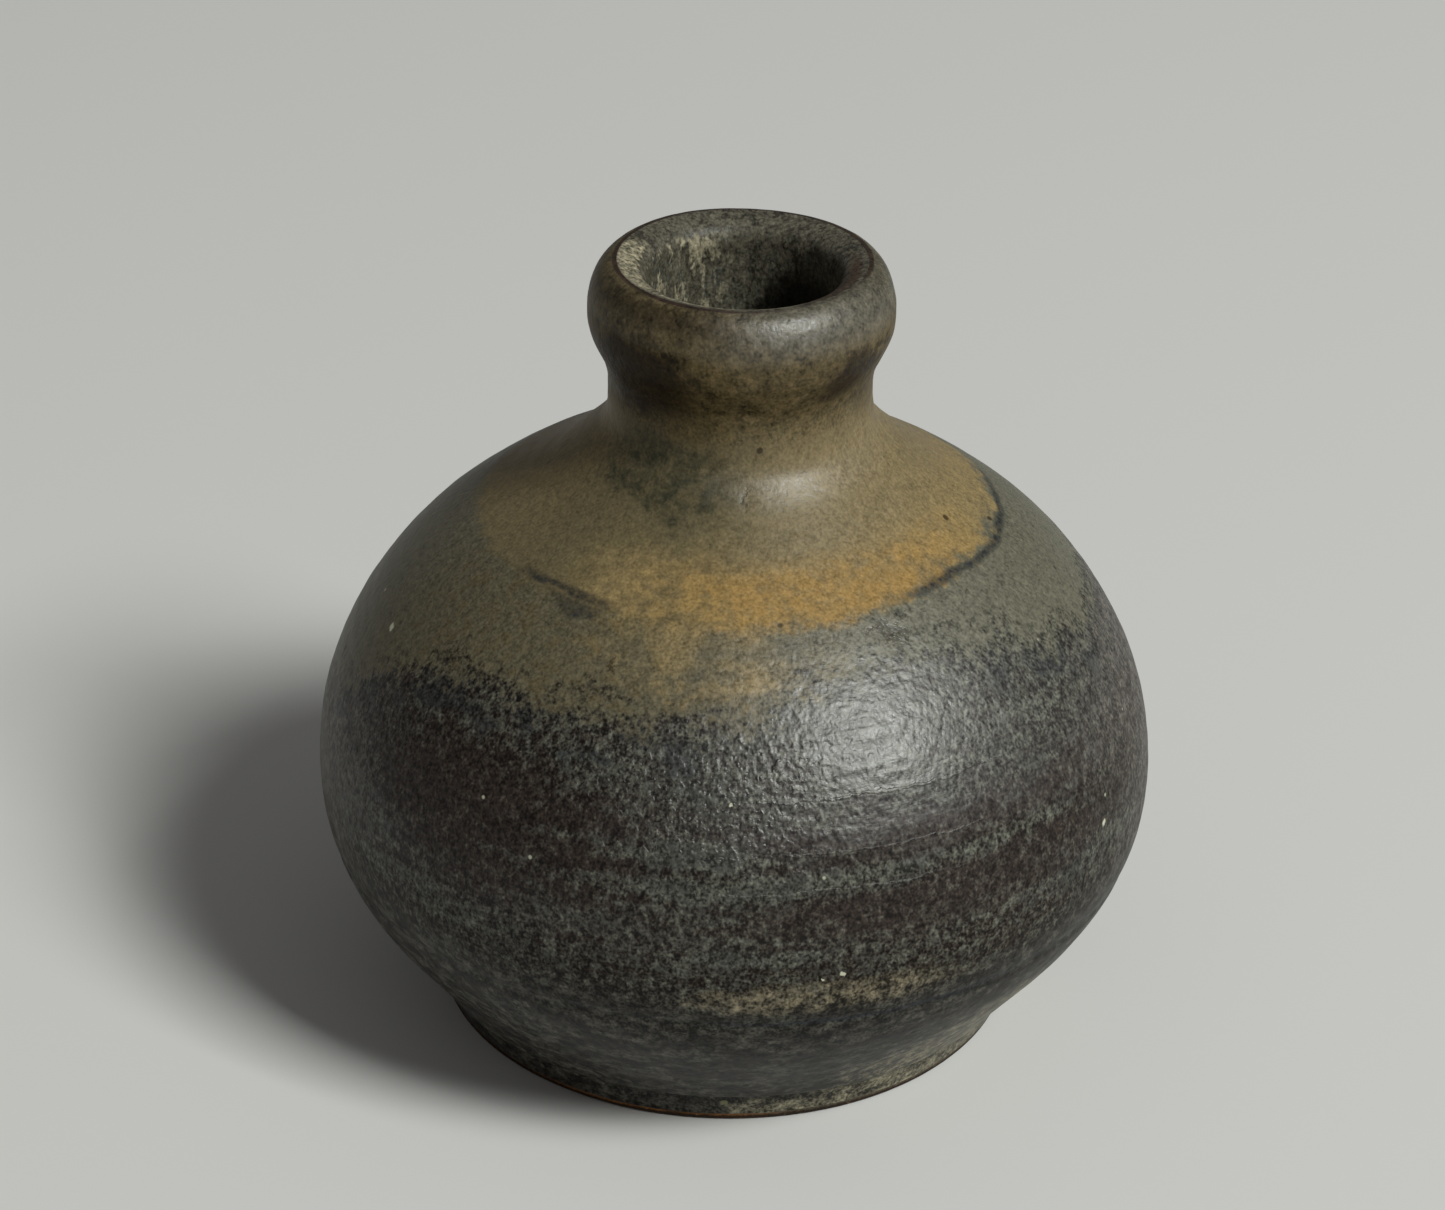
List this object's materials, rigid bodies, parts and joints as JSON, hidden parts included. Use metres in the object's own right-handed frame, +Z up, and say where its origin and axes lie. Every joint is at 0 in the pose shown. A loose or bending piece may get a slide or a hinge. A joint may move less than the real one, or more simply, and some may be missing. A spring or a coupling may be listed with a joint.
{
  "type": "bud vase",
  "caption": "Squat round stoneware bud vase with a short waisted neck, a rolled lip and a narrow throat, dark satin glaze below and an ochre-olive glaze over the shoulder.",
  "frame": {"origin": "centre of the foot on the surface that the vase stands on", "axes": "+Z up along the axis that the vase was thrown about; the vase is round, so +X and +Y are the side directions of the glaze pattern, with its front on -Y"},
  "size_m": [0.096, 0.096, 0.0908],
  "materials": {
    "bare_clay": "bare fired iron-bearing stoneware, dry and slightly gritty",
    "liner_glaze": "satin, mottled cream, blue-grey and brown in runs",
    "body_glaze": "satin with a fine orange-peel, blue-black over brown, with grey flecks along the throwing lines",
    "shoulder_glaze": "satin, olive and khaki with an ochre band along its lower edge"
  },
  "bodies": {
    "root": {"clay_body": "bare_clay", "liner_glaze": "liner_glaze", "body_glaze": "body_glaze", "shoulder_glaze": "shoulder_glaze"}
  },
  "joints": []
}
